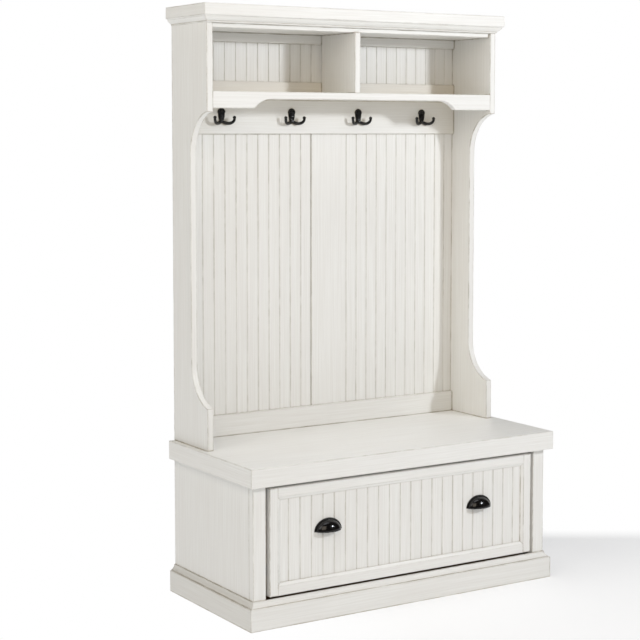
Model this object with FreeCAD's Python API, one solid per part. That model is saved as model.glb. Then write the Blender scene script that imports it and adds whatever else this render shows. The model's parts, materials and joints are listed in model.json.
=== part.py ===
"""Hall tree: a bench with one wide drawer, and a hutch with coat hooks and two cubbies above it.

Millimetres. The origin is on the floor at the centre of the outline, +Z is up, the front faces -Y and
+X is to the right of someone who stands in front of it. Depths (d) are counted forward from the back plane.
"""
import FreeCAD, Part
import math
import os

V = FreeCAD.Vector

# ---- driving dimensions -------------------------------------------------------------------------------
# bench top
TOP_W = 1022.0
TOP_D = 473.0
SEAT_H = 436.4
TOP_EDGE_H = 52.4
TOP_BOARD_T = 20.0
# bench body and face frame
BODY_W = TOP_W - 35.0
BODY_D = TOP_D - 23.0
BENCH_SIDE_T = 18.0
STILE_W = 39.0
BENCH_BACK_T = 5.0
BENCH_BACK_SETBACK = 3.0
BOTTOM_PANEL_T = 15.0
BOTTOM_PANEL_Z = 38.0
# base boards round the foot of the bench
BASE_FLAT_H = 58.0
BASE_H = 76.4
BASE_T = 16.5
BASE_NOSE_R = 2.2
BASE_LEDGE = 4.4
BASE_QUIRK_H = 1.8
BASE_CAP = 3.0
BASE_FILLET = 1.0
GLIDE_D = 15.0
GLIDE_T = 3.0
GLIDE_PIN_D = 3.0
GLIDE_PIN_L = 14.0
GLIDE_INSET = 45.0
# drawer front
DRAWER_SIDE_GAP = 11.0
DRAWER_BOTTOM_GAP = 5.6
DRAWER_TOP_GAP = 10.0
DRAWER_PROUD = 2.0
FRONT_T = 20.0
FRONT_FLAT_W = 26.0
FRONT_BEVEL_W = 8.0
FRONT_BEVEL_D = 5.0
PANEL_RECESS = 7.0
FRONT_PANEL_T = 8.0
# drawer box and slides
DRAWER_WALL_T = 12.0
DRAWER_BOX_H = 200.0
DRAWER_BOX_LIFT = 12.0
DRAWER_BOTTOM_T = 5.0
DRAWER_BOTTOM_RAISE = 12.0
GROOVE_DEPTH = 5.0
GROOVE_PLAY = 0.2
SLIDE_L = BODY_D - 50.0
SLIDE_T = 12.7
SLIDE_H = 45.0
SLIDE_GAUGE = 1.2
SLIDE_RISE = 55.0
SLIDE_LAP = 4.0     # how much of each slide's front end lies beside the face frame
SLIDE_CABINET_LIP = 9.0     # how far each member's lips or web stand out from the mount rail
SLIDE_MIDDLE_WEB = 2.6
SLIDE_MIDDLE_LIP = 10.4
SLIDE_DRAWER_LIP = 5.6
SLIDE_MIDDLE_STEP = 4.0     # how far each edge of an inner member is inside the cabinet member's
SLIDE_DRAWER_STEP = 9.0
SLIDE_SCREW_SHARES = (0.12, 0.5, 0.88)
MOUNT_RAIL_H = 60.0
# cup pulls
PULL_X = 0.25147 * TOP_W
PULL_W = 87.0
PULL_H = 35.0
PULL_PROJECTION = 24.0
PULL_RIM_W = 5.0
PULL_RIM_T = 2.2
PULL_WALL = 1.8
PULL_RAISE = 155.0
PULL_POST_X = 24.0
PULL_POST_D = 8.0
# hutch
OVERALL_H = 1660.0
HUTCH_W = TOP_W - 35.6
HUTCH_SIDE_T = 18.5
WIDE_D = 206.7
NARROW_D = 107.9
FOOT_D = 200.2
FOOT_H = 117.6
SWEEP_R = 118.0
WIDE_BOTTOM_Z = OVERALL_H - 291.6
SHELF_TOP_Z = OVERALL_H - 235.4
SHELF_T = 18.0
VALANCE_T = 18.0
VALANCE_END_H = 46.0
VALANCE_MID_H = 19.6
VALANCE_FLAT = 130.0
VALANCE_RISE_W = 58.0
DIVIDER_X = -3.5
DIVIDER_T = 18.5
CUBBY_TOP_Z = OVERALL_H - 63.0
TOP_PANEL_T = 18.0
TOP_PANEL_SETBACK = 8.0
# back of the hutch
BACK_SETBACK = 8.0
RAIL_T = 18.0
BEAD_T = 9.0
TOP_RAIL_H = 27.0
HOOK_RAIL_TOP_Z = OVERALL_H - 202.0
HOOK_RAIL_H = 150.2
BOTTOM_RAIL_H = 61.6
BEAD_PITCH = 36.4
FIRST_BEAD_X = 43.6
SEAM_W = 2.5
SEAM_LAP = 8.0     # how far the left panel's tongue reaches behind the right panel
SEAM_TONGUE_T = 4.0
SEAM_PLAY = 0.3
VEE_W = 3.2
VEE_D = 1.4
# cornice
CORNICE_D = WIDE_D + 21.9
CORNICE_FLAT_H = 31.4
CORNICE_MOULD_H = 19.4
CORNICE_BOARD_T = 18.0
CROWN_BEAD = ((19.5, 0.0), (18.2, 0.0), (16.2, 1.6), (16.2, 4.2))     # set-back and height of each point
CROWN_STEP = (14.2, 5.4)
CROWN_COVE = ((9.5, 8.8), (4.6, 16.4))
CROWN_LIP = (2.2, 18.2)
# coat hooks
HOOK_COUNT = 4
HOOK_SPACING = 0.22847 * TOP_W
HOOK_TOP_Z = OVERALL_H - 278.0
HOOK_PLATE_R = 12.0
HOOK_PLATE_H = 40.0
HOOK_FOOT_R = 6.0
HOOK_PLATE_T = 3.5
HOOK_ARM_R = 3.8
HOOK_TIP_R = 4.4
HOOK_SPREAD = 32.0
HOOK_REACH = 21.0
HOOK_DIP = 9.0
HOOK_TIP_RISE = 8.5
# fasteners
SCREW_D = 4.0
SCREW_HEAD_D = 7.5
SCREW_HEAD_T = 1.6
SCREW_BITE = 0.7     # share of a board that a screw goes into
DOWEL_D = 8.0
DOWEL_L = 36.0
BRACKET_X = 300.0
BRACKET_W = 20.0
BRACKET_H = 60.0
BRACKET_T = 2.0
BRACKET_HOLE_D = 5.0
# edges
ARRIS = 1.2
SMALL_ARRIS = 0.6

# ---- derived places -----------------------------------------------------------------------------------
BACK_Y = TOP_D / 2
BODY_X = BODY_W / 2
BENCH_IN_X = BODY_X - BENCH_SIDE_T
OPENING_X = BODY_X - STILE_W
TOP_UNDER_Z = SEAT_H - TOP_BOARD_T
APRON_UNDER_Z = SEAT_H - TOP_EDGE_H
BASE_X = BODY_X + BASE_T
BASE_FRONT_D = BODY_D + BASE_T
FACE_T = FRONT_T - DRAWER_PROUD + SLIDE_LAP
CARCASS_FRONT_D = BODY_D - FACE_T
BENCH_BACK_D = BENCH_BACK_SETBACK + BENCH_BACK_T

FRONT_X = OPENING_X - DRAWER_SIDE_GAP
FRONT_Z0 = BASE_H + DRAWER_BOTTOM_GAP
FRONT_Z1 = APRON_UNDER_Z - DRAWER_TOP_GAP
FRONT_D = BODY_D + DRAWER_PROUD
FRONT_BACK_D = FRONT_D - FRONT_T
FLAT_X = FRONT_X - FRONT_FLAT_W
FLAT_Z0 = FRONT_Z0 + FRONT_FLAT_W
FLAT_Z1 = FRONT_Z1 - FRONT_FLAT_W
PANEL_FACE_D = FRONT_D - PANEL_RECESS
BOX_X = OPENING_X - SLIDE_T
BOX_Z0 = FRONT_Z0 + DRAWER_BOX_LIFT
BOX_Z1 = BOX_Z0 + DRAWER_BOX_H
BOX_BACK_D = FRONT_BACK_D - SLIDE_L
SLIDE_Z = BOX_Z0 + SLIDE_RISE
PULL_Z = FRONT_Z0 + PULL_RAISE

HUTCH_X = HUTCH_W / 2
HUTCH_IN_X = HUTCH_X - HUTCH_SIDE_T
CORNICE_UNDER_Z = OVERALL_H - CORNICE_FLAT_H - CORNICE_MOULD_H
CORNICE_BOARD_Z = OVERALL_H - CORNICE_BOARD_T
CORNICE_X = TOP_W / 2
RAIL_FACE_D = BACK_SETBACK + RAIL_T
BEAD_FACE_D = BACK_SETBACK + BEAD_T
HOOK_RAIL_Z0 = HOOK_RAIL_TOP_Z - HOOK_RAIL_H
TOP_RAIL_Z0 = CUBBY_TOP_Z - TOP_RAIL_H
BOTTOM_RAIL_Z1 = SEAT_H + BOTTOM_RAIL_H
TOP_PANEL_D = WIDE_D - TOP_PANEL_SETBACK


# ---- helpers ------------------------------------------------------------------------------------------
def at(x, d, z):
    """The point x across, d forward from the back plane and z up."""
    return V(x, BACK_Y - d, z)


def slab(x0, x1, d0, d1, z0, z1):
    """A square-edged box."""
    return Part.makeBox(x1 - x0, d1 - d0, z1 - z0, at(x0, d1, z0))


def board(x0, x1, d0, d1, z0, z1, arris=ARRIS):
    """A box with every edge eased."""
    box = slab(x0, x1, d0, d1, z0, z1)
    return box.makeFillet(arris, box.Edges)


def outline(path, place):
    """A closed wire. A step of the path is a point, or a pair (middle, end) that makes an arc."""
    edges = []
    here = path[0]
    for step in path[1:]:
        if isinstance(step[0], tuple):
            middle, end = step
            edges.append(Part.Arc(place(*here), place(*middle), place(*end)).toShape())
        else:
            end = step
            edges.append(Part.makeLine(place(*here), place(*end)))
        here = end
    edges.append(Part.makeLine(place(*here), place(*path[0])))
    return Part.Wire(edges)


def prism(path, place, along):
    """The solid that an outline sweeps along a straight vector."""
    return Part.Face(outline(path, place)).extrude(along)


def plan_prism(points, z0, z1):
    """A solid with straight sides over a plan of (x, d) points."""
    return prism(points, lambda x, d: at(x, d, z0), V(0, 0, z1 - z0))


def rod(x, d, z, radius, length, direction):
    return Part.makeCylinder(radius, length, at(x, d, z), direction)


def mirrored(shape):
    return shape.mirror(V(0, 0, 0), V(1, 0, 0))


def union(shapes):
    return shapes[0].multiFuse(shapes[1:]).removeSplitter()


def eased(shape, radius, chosen):
    """Ease the edges whose centre the function chosen accepts."""
    edges = [edge for edge in shape.Edges if chosen(edge.CenterOfMass)]
    return shape.makeFillet(radius, edges)


def screw(x, d, z, length, direction, head=SCREW_HEAD_T):
    """A screw whose head lies outside the point and whose shank runs along direction."""
    shank = rod(x, d, z, SCREW_D / 2, length, direction)
    cap = Part.makeCylinder(SCREW_HEAD_D / 2, head, at(x, d, z) - direction * head, direction)
    return union([cap, shank])


BACKWARD = V(0, 1, 0)
FORWARD = V(0, -1, 0)
UP = V(0, 0, 1)
RIGHT = V(1, 0, 0)


# ---- moulded rims: base boards, bench top edge and cornice --------------------------------------------
def moulded_block(half_width, front_d, profile):
    """A block whose front and two ends all have the profile, a path of (set-back, z) points."""
    low, high = profile[0], profile[-1]
    high = high[1] if isinstance(high[0], tuple) else high
    front = [(0.0, low[1])] + [flip_d(step, front_d) for step in profile] + [(0.0, high[1])]
    front = prism(front, lambda d, z: at(-half_width, d, z), V(2 * half_width, 0, 0))
    side = [(0.0, low[1])] + [flip_d(step, half_width) for step in profile] + [(0.0, high[1])]
    side = prism(side, lambda x, z: at(x, 0, z), V(0, -front_d, 0))
    return front.common(union([side, mirrored(side)]))


def flip_d(step, outer):
    """Turn set-backs of a profile step into distances from the centre or back."""
    if isinstance(step[0], tuple):
        return tuple((outer - s, z) for s, z in step)
    return (outer - step[0], step[1])


def rim_pieces(block, half_width, front_d, inner_x, inner_d, z0, z1):
    """Cut the front, left and right pieces of a rim, mitred where they meet."""
    front = [(-half_width, front_d), (half_width, front_d), (inner_x, inner_d), (-inner_x, inner_d)]
    right = [(half_width, 0.0), (half_width, front_d), (inner_x, inner_d), (inner_x, 0.0)]
    right = plan_prism(right, z0, z1)
    return block.common(plan_prism(front, z0, z1)), block.common(mirrored(right)), block.common(right)


def folded_lid(half_width, front_d, rim_x, rim_d, z0, z1):
    """A board bevelled at its front and ends, so that the strips under its rim meet it at its arris."""
    front = [(0.0, z0), (rim_d, z0), (front_d, z1), (0.0, z1)]
    front = prism(front, lambda d, z: at(-half_width, d, z), V(2 * half_width, 0, 0))
    end = [(-rim_x, z0), (rim_x, z0), (half_width, z1), (-half_width, z1)]
    return front.common(prism(end, lambda x, z: at(x, 0, z), V(0, -front_d, 0)))


def bench_top():
    """The seat board and the deep edge strips folded down round it."""
    block = slab(-TOP_W / 2, TOP_W / 2, 0, TOP_D, APRON_UNDER_Z, SEAT_H)
    block = block.makeFillet(ARRIS, block.Edges)
    lid = folded_lid(TOP_W / 2, TOP_D, BODY_X, BODY_D, TOP_UNDER_Z, SEAT_H)
    rim = rim_pieces(block.cut(lid), TOP_W / 2, TOP_D, BODY_X, BODY_D, APRON_UNDER_Z, SEAT_H)
    return (block.common(lid),) + rim


def base_boards():
    """Front and side base boards: a flat with a rounded top, a quirk, and a cove up to the body."""
    nose_z = BASE_FLAT_H + BASE_NOSE_R
    foot = (BASE_LEDGE, nose_z + BASE_QUIRK_H)
    neck_s = BASE_T - BASE_CAP
    neck = (neck_s, BASE_H - BASE_FILLET)
    middle = (foot[0] + (neck_s - foot[0]) * 0.66, foot[1] + (neck[1] - foot[1]) * 0.38)
    turn = BASE_NOSE_R * (1 - math.sqrt(0.5))
    profile = [(0.0, 0.0), (0.0, BASE_FLAT_H), ((turn, nose_z - turn), (BASE_NOSE_R, nose_z)),
               (BASE_LEDGE, nose_z), foot, (middle, neck), (neck_s, BASE_H)]
    block = moulded_block(BASE_X, BASE_FRONT_D, profile)
    return rim_pieces(block, BASE_X, BASE_FRONT_D, BODY_X, BODY_D, 0.0, BASE_H)


def cornice():
    """The top board and the crown mouldings folded down round it: a flat, a step, a cove and a bead."""
    z = CORNICE_UNDER_Z
    start, foot, bend, shoulder = [(s, z + h) for s, h in CROWN_BEAD]
    step, middle, top, lip = [(s, z + h) for s, h in (CROWN_STEP,) + CROWN_COVE + (CROWN_LIP,)]
    profile = [start, foot, (bend, shoulder), step, (middle, top), lip, (0.0, z + CORNICE_MOULD_H),
               (0.0, OVERALL_H - ARRIS), (ARRIS, OVERALL_H)]
    block = moulded_block(CORNICE_X, CORNICE_D, profile)
    lid = folded_lid(CORNICE_X, CORNICE_D, HUTCH_X, WIDE_D, CORNICE_BOARD_Z, OVERALL_H)
    rim = rim_pieces(block.cut(lid), CORNICE_X, CORNICE_D, HUTCH_X, WIDE_D, z, OVERALL_H)
    tongue = slab(-HUTCH_IN_X, HUTCH_IN_X, TOP_PANEL_D, WIDE_D, z, CORNICE_BOARD_Z)
    return (block.common(lid), union([rim[0], tongue])) + rim[1:]


# ---- bench --------------------------------------------------------------------------------------------
def glide_places():
    x = BODY_X - BENCH_SIDE_T / 2
    return [(s * x, d) for s in (-1, 1) for d in (GLIDE_INSET, CARCASS_FRONT_D - GLIDE_INSET)]


def floor_glides():
    """Nail-in glides under the two bench sides."""
    glides = []
    for x, d in glide_places():
        disc = rod(x, d, 0.0, GLIDE_D / 2, GLIDE_T, UP)
        pin = rod(x, d, GLIDE_T, GLIDE_PIN_D / 2, GLIDE_PIN_L, UP)
        glides.append(union([disc, pin]))
    return glides


def bench_side(sign):
    x0, x1 = sorted((sign * BENCH_IN_X, sign * BODY_X))
    return board(x0, x1, 0, CARCASS_FRONT_D, GLIDE_T, TOP_UNDER_Z)


def face_stile(sign):
    x0, x1 = sorted((sign * OPENING_X, sign * BODY_X))
    return board(x0, x1, CARCASS_FRONT_D, BODY_D, 0.0, TOP_UNDER_Z)


def mount_rail(sign):
    """Packs the cabinet member of a slide out to the edge of the face frame."""
    x0, x1 = sorted((sign * OPENING_X, sign * BENCH_IN_X))
    z0 = SLIDE_Z - MOUNT_RAIL_H / 2
    return slab(x0, x1, BENCH_BACK_D, CARCASS_FRONT_D, z0, z0 + MOUNT_RAIL_H)


# ---- drawer slides ------------------------------------------------------------------------------------
def channel(sign, web_at, flange_to, half_height):
    """A pressed channel of one slide. Offsets count from the mount rail towards the drawer."""
    g = SLIDE_GAUGE
    web = sorted((web_at, web_at + g))
    reach = sorted((web_at, flange_to)) if flange_to > web_at else sorted((flange_to, web_at + g))
    pieces = [(web, -half_height, half_height), (reach, half_height - g, half_height),
              (reach, -half_height, g - half_height)]
    solids = []
    for (u0, u1), z0, z1 in pieces:
        x0, x1 = sorted((sign * (OPENING_X - u0), sign * (OPENING_X - u1)))
        solids.append(slab(x0, x1, BOX_BACK_D, FRONT_BACK_D, SLIDE_Z + z0, SLIDE_Z + z1))
    return union(solids)


def slide_members(sign):
    """Cabinet, middle and drawer members, nested with room for the balls between them."""
    half = SLIDE_H / 2
    cabinet = channel(sign, 0.0, SLIDE_CABINET_LIP, half)
    middle = channel(sign, SLIDE_MIDDLE_WEB, SLIDE_MIDDLE_LIP, half - SLIDE_MIDDLE_STEP)
    drawer = channel(sign, SLIDE_T - SLIDE_GAUGE, SLIDE_DRAWER_LIP, half - SLIDE_DRAWER_STEP)
    return cabinet, middle, drawer


def slide_screw_depths():
    return [BOX_BACK_D + SLIDE_L * share for share in SLIDE_SCREW_SHARES]


# ---- drawer -------------------------------------------------------------------------------------------
def bevel_strip(path, place, along, plan):
    """The sloping inner edge of a frame piece, trimmed to its mitred plan."""
    return prism(path, place, along).common(plan)


def front_plan(points):
    """A straight-sided solid through the drawer front over (x, z) points."""
    return prism(points, lambda x, z: at(x, FRONT_D, z), V(0, FRONT_T, 0))


def bevel_section(edge, inward):
    """The bevel's section as (offset, d) points, from the flat's edge inward."""
    inner = edge + inward * FRONT_BEVEL_W
    return [(edge, FRONT_D - ARRIS / 2), (inner, FRONT_D - FRONT_BEVEL_D), (inner, PANEL_FACE_D),
            (edge, PANEL_FACE_D)]


def front_stile(sign):
    x0, x1 = sorted((sign * FLAT_X, sign * FRONT_X))
    flat = board(x0, x1, FRONT_BACK_D, FRONT_D, FRONT_Z0, FRONT_Z1, SMALL_ARRIS)
    b = FRONT_BEVEL_W
    inner = sign * (FLAT_X - b)
    plan = front_plan([(sign * FLAT_X, FLAT_Z0), (inner, FLAT_Z0 + b), (inner, FLAT_Z1 - b),
                       (sign * FLAT_X, FLAT_Z1)])
    section = bevel_section(sign * FLAT_X, -sign)
    strip = bevel_strip(section, lambda x, d: at(x, d, FRONT_Z0), V(0, 0, FRONT_Z1 - FRONT_Z0), plan)
    return union([flat, strip])


def front_rail(low):
    z_out, z_flat, inward = (FRONT_Z0, FLAT_Z0, 1) if low else (FRONT_Z1, FLAT_Z1, -1)
    z0, z1 = sorted((z_out, z_flat))
    flat = board(-FLAT_X, FLAT_X, FRONT_BACK_D, FRONT_D, z0, z1, SMALL_ARRIS)
    b = FRONT_BEVEL_W
    inner = z_flat + inward * b
    plan = front_plan([(-FLAT_X, z_flat), (b - FLAT_X, inner), (FLAT_X - b, inner), (FLAT_X, z_flat)])
    section = bevel_section(z_flat, inward)
    strip = bevel_strip(section, lambda z, d: at(-FRONT_X, d, z), V(2 * FRONT_X, 0, 0), plan)
    return union([flat, strip])


def vee(x, face_d, z0, z1):
    """The tool that cuts one V-groove into a face."""
    lift = VEE_D / 2
    half = VEE_W / 2 * (1 + lift / VEE_D)
    points = [(x - half, face_d + lift), (x + half, face_d + lift), (x, face_d - VEE_D)]
    return plan_prism(points, z0 - 1, z1 + 1)


def beadboard(x0, x1, thickness, face_d, z0, z1, grooves):
    panel = slab(x0, x1, face_d - thickness, face_d, z0, z1)
    cutters = [vee(x, face_d, z0, z1) for x in grooves]
    return panel.cut(Part.makeCompound(cutters))


def front_panel():
    """The drawer's beadboard panel, with its grooves set evenly about the centre."""
    reach = FLAT_X - FRONT_BEVEL_W - BEAD_PITCH / 2
    count = int((reach - BEAD_PITCH / 2) // BEAD_PITCH) + 1
    right = [BEAD_PITCH * (k + 0.5) for k in range(count + 1)]
    grooves = [-x for x in right] + right
    return beadboard(-FLAT_X, FLAT_X, FRONT_PANEL_T, PANEL_FACE_D, FLAT_Z0, FLAT_Z1, grooves)


def drawer_bottom(play=0.0):
    """The drawer's floor; with play, the groove that holds it."""
    x = BOX_X - DRAWER_WALL_T + GROOVE_DEPTH
    z = BOX_Z0 + DRAWER_BOTTOM_RAISE
    d0 = BOX_BACK_D + DRAWER_WALL_T - GROOVE_DEPTH
    d1 = FRONT_BACK_D - DRAWER_WALL_T + GROOVE_DEPTH
    return slab(-x - play, x + play, d0 - play, d1 + play, z, z + DRAWER_BOTTOM_T + play)


def drawer_side(sign):
    x0, x1 = sorted((sign * (BOX_X - DRAWER_WALL_T), sign * BOX_X))
    wall = board(x0, x1, BOX_BACK_D, FRONT_BACK_D, BOX_Z0, BOX_Z1)
    return wall.cut(drawer_bottom(GROOVE_PLAY))


def drawer_end(d0):
    x = BOX_X - DRAWER_WALL_T
    wall = slab(-x, x, d0, d0 + DRAWER_WALL_T, BOX_Z0, BOX_Z1)
    return wall.cut(drawer_bottom(GROOVE_PLAY))


# ---- cup pulls ----------------------------------------------------------------------------------------
def dome(half_length, rise, projection):
    """A quarter of a long rounded body: round along X, open below and behind."""
    rim = [(-half_length, 0.0), ((0.0, rise), (half_length, 0.0))]
    face = Part.Face(outline(rim, lambda x, z: V(x, 0, z)))
    body = face.revolve(V(0, 0, 0), V(1, 0, 0), 90)
    squeeze = FreeCAD.Matrix()
    squeeze.scale(1.0, projection / rise, 1.0)
    return body.transformGeometry(squeeze)


def cup_pull(x):
    """A bin pull: arched rim against the drawer, hollow dome and two screw posts inside it."""
    half = PULL_W / 2
    plate = prism([(-half, 0.0), ((0.0, PULL_H), (half, 0.0))], lambda a, z: V(a, 0, z),
                  V(0, -PULL_RIM_T, 0))
    length = half - PULL_RIM_W
    rise = PULL_H - PULL_RIM_W
    shell = dome(length, rise, PULL_PROJECTION)
    hollow = dome(length - PULL_WALL, rise - PULL_WALL, PULL_PROJECTION - PULL_WALL)
    mouth = prism([(PULL_WALL - length, -0.5), (PULL_WALL - length, 0.0),
                   ((0.0, rise - PULL_WALL), (length - PULL_WALL, 0.0)), (length - PULL_WALL, -0.5)],
                  lambda a, z: V(a, 0.5, z), V(0, -PULL_RIM_T - 0.5, 0))
    posts = [Part.makeCylinder(PULL_POST_D / 2, PULL_PROJECTION / 2, V(s * PULL_POST_X, 0, rise / 2), FORWARD)
             for s in (-1, 1)]
    posts = [post.common(dome(length, rise, PULL_PROJECTION)) for post in posts]
    cup = union([plate.cut(mouth), shell.cut(hollow)] + posts)
    cup.translate(at(x, PANEL_FACE_D, PULL_Z))
    return cup


def pull_screws(x):
    z = PULL_Z + (PULL_H - PULL_RIM_W) / 2
    start = FRONT_BACK_D - DRAWER_WALL_T
    length = PANEL_FACE_D + PULL_PROJECTION / 4 - start
    return [screw(x + s * PULL_POST_X, start, z, length, FORWARD) for s in (-1, 1)]


# ---- hutch --------------------------------------------------------------------------------------------
def sweep_arc(outer_d, z_tangent, upward):
    """Middle and end of the arc that leaves the narrow edge and reaches outer_d."""
    turn = math.acos(1 - (outer_d - NARROW_D) / SWEEP_R)
    arc = []
    for share in (0.5, 1.0):
        d = NARROW_D + SWEEP_R * (1 - math.cos(turn * share))
        z = z_tangent + upward * SWEEP_R * math.sin(turn * share)
        arc.append((d, z))
    return arc


def sweep_height(outer_d):
    turn = math.acos(1 - (outer_d - NARROW_D) / SWEEP_R)
    return SWEEP_R * math.sin(turn)


def hutch_side(sign):
    """A shaped end panel: wide at the cubbies, narrow beside the coats, and a broad foot."""
    foot_z = SEAT_H + FOOT_H
    low_z = foot_z + sweep_height(FOOT_D)
    high_z = WIDE_BOTTOM_Z - sweep_height(WIDE_D)
    low_mid, low_end = sweep_arc(FOOT_D, low_z, -1)
    high = sweep_arc(WIDE_D, high_z, 1)
    path = [(0.0, SEAT_H), (FOOT_D, SEAT_H), low_end, (low_mid, (NARROW_D, low_z)), (NARROW_D, high_z),
            (high[0], high[1]), (WIDE_D, CORNICE_BOARD_Z), (0.0, CORNICE_BOARD_Z)]
    x0 = HUTCH_IN_X if sign > 0 else -HUTCH_X
    panel = prism(path, lambda d, z: at(x0, d, z), V(HUTCH_SIDE_T, 0, 0))
    front_y = BACK_Y - NARROW_D / 2
    return eased(panel, ARRIS, lambda c: c.y < front_y and abs(c.x - x0 - HUTCH_SIDE_T / 2) > 1
                 and SEAT_H + 1 < c.z < CORNICE_BOARD_Z - 1)


def valance():
    """The board along the shelf's front edge, cut up in a shallow arch between the cubby ends."""
    z1 = SHELF_TOP_Z
    low = z1 - VALANCE_END_H
    high = z1 - VALANCE_MID_H
    rise = high - low
    foot_x = HUTCH_IN_X - VALANCE_FLAT
    arch_x = foot_x - VALANCE_RISE_W
    radius = (VALANCE_RISE_W ** 2 + rise ** 2) / (2 * rise)
    turn = math.asin(VALANCE_RISE_W / radius) / 2
    mid = (arch_x + radius * math.sin(turn), high - radius * (1 - math.cos(turn)))
    path = [(-HUTCH_IN_X, z1), (-HUTCH_IN_X, low), (-foot_x, low), ((-mid[0], mid[1]), (-arch_x, high)),
            (arch_x, high), (mid, (foot_x, low)), (HUTCH_IN_X, low), (HUTCH_IN_X, z1)]
    shape = prism(path, lambda x, z: at(x, WIDE_D, z), V(0, VALANCE_T, 0))
    face_y = BACK_Y - WIDE_D
    return eased(shape, ARRIS, lambda c: abs(c.y - face_y) < 0.1 and abs(c.x) < HUTCH_IN_X - 1)


def bead_line(limit):
    """Groove places to the right of the centre, up to the limit."""
    places = []
    x = FIRST_BEAD_X
    while x < limit:
        places.append(x)
        x += BEAD_PITCH
    return places


def cubby_back():
    right = bead_line(HUTCH_IN_X - VEE_W)
    grooves = [-x for x in right] + right
    return beadboard(-HUTCH_IN_X, HUTCH_IN_X, BEAD_T, BEAD_FACE_D, HOOK_RAIL_TOP_Z, TOP_RAIL_Z0, grooves)


def main_back(sign):
    """One of the two panels behind the coats. The right one keeps a plain field beside the seam.

    A tongue on the left panel lies in a rabbet behind the right one, so the seam can't be seen through.
    """
    seam = -FIRST_BEAD_X
    half = SEAM_W / 2
    lines = bead_line(HUTCH_IN_X - VEE_W)[1:]
    x0, x1 = (-HUTCH_IN_X, seam - half) if sign < 0 else (seam + half, HUTCH_IN_X)
    edge = x1 if sign < 0 else x0
    grooves = [edge] + [sign * x for x in lines]
    z0, z1 = BOTTOM_RAIL_Z1, HOOK_RAIL_Z0
    panel = beadboard(x0, x1, BEAD_T, BEAD_FACE_D, z0, z1, grooves)
    lap_x, tongue_d = seam + half + SEAM_LAP, BACK_SETBACK + SEAM_TONGUE_T
    if sign < 0:
        return panel.fuse(slab(x1, lap_x, BACK_SETBACK, tongue_d, z0, z1)).removeSplitter()
    return panel.cut(slab(x0 - 1, lap_x + SEAM_PLAY, BACK_SETBACK - 1, tongue_d + SEAM_PLAY, z0 - 1, z1 + 1))


def hutch_rail(z0, z1):
    return board(-HUTCH_IN_X, HUTCH_IN_X, BACK_SETBACK, RAIL_FACE_D, z0, z1)


# ---- coat hooks ---------------------------------------------------------------------------------------
def hook_places():
    return [(k - (HOOK_COUNT - 1) / 2) * HOOK_SPACING for k in range(HOOK_COUNT)]


def hook_screw_heights():
    plate_centre = HOOK_TOP_Z - HOOK_PLATE_R
    return [plate_centre + 3.0, plate_centre - 13.0]


def hook_arm(side, root_z):
    """A bent arm with a ball tip, from the plate's foot out to one side and up."""
    root = V(0, -HOOK_PLATE_T / 2, root_z)
    middle = V(side * HOOK_SPREAD * 0.6, -HOOK_REACH * 0.62, root_z - HOOK_DIP)
    tip = V(side * HOOK_SPREAD, -HOOK_REACH, root_z + HOOK_TIP_RISE)
    path = Part.Wire([Part.Arc(root, middle, tip).toShape()])
    start = path.Edges[0].tangentAt(path.Edges[0].FirstParameter)
    ring = Part.Wire([Part.makeCircle(HOOK_ARM_R, root, start)])
    arm = path.makePipeShell([ring], True, False)
    return [arm, Part.makeSphere(HOOK_TIP_R, tip)]


def coat_hook(x):
    """A double hook: teardrop plate with one arm to each side."""
    top_z = HOOK_TOP_Z - HOOK_PLATE_R
    foot_z = HOOK_TOP_Z - HOOK_PLATE_H + HOOK_FOOT_R
    path = [(-HOOK_PLATE_R, top_z), ((0.0, HOOK_TOP_Z), (HOOK_PLATE_R, top_z)), (HOOK_FOOT_R, foot_z),
            ((0.0, foot_z - HOOK_FOOT_R), (-HOOK_FOOT_R, foot_z))]
    plate = prism(path, lambda a, z: V(a, 0, z), V(0, -HOOK_PLATE_T, 0))
    plate = eased(plate, HOOK_PLATE_T / 3, lambda c: c.y < 0.1 - HOOK_PLATE_T)
    knuckle = Part.makeSphere(HOOK_FOOT_R, V(0, -HOOK_PLATE_T, foot_z))
    behind = Part.makeBox(4 * HOOK_FOOT_R, 2 * HOOK_FOOT_R, 4 * HOOK_FOOT_R,
                          V(-2 * HOOK_FOOT_R, 0, foot_z - 2 * HOOK_FOOT_R))
    arms = hook_arm(-1, foot_z) + hook_arm(1, foot_z)
    hook = union([plate, knuckle] + arms).cut(behind)
    hook.translate(at(x, RAIL_FACE_D, 0))
    return hook


def hook_screws():
    length = HOOK_PLATE_T + RAIL_T * SCREW_BITE
    return [screw(x, RAIL_FACE_D + HOOK_PLATE_T, z, length, BACKWARD)
            for x in hook_places() for z in hook_screw_heights()]


# ---- fasteners that hold the hutch --------------------------------------------------------------------
def hutch_dowels():
    """Dowels through the seat board into the feet of the hutch sides."""
    x = HUTCH_X - HUTCH_SIDE_T / 2
    z = SEAT_H - DOWEL_L / 2
    return [rod(s * x, FOOT_D * share, z, DOWEL_D / 2, DOWEL_L, UP) for s in (-1, 1) for share in (0.25, 0.75)]


def rail_screws():
    """Screws from inside the bench, up through the seat board into the back bottom rail."""
    length = TOP_BOARD_T + BOTTOM_RAIL_H / 2
    d = BACK_SETBACK + RAIL_T / 2
    return [screw(x, d, TOP_UNDER_Z, length, UP) for x in (-HUTCH_IN_X * 0.8, -HUTCH_IN_X * 0.27,
                                                         HUTCH_IN_X * 0.27, HUTCH_IN_X * 0.8)]


def bracket_screws():
    length = RAIL_T * SCREW_BITE + BRACKET_T
    z = TOP_RAIL_Z0 + TOP_RAIL_H / 2
    return [screw(s * BRACKET_X, BACK_SETBACK - BRACKET_T, z, length, FORWARD) for s in (-1, 1)]


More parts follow.
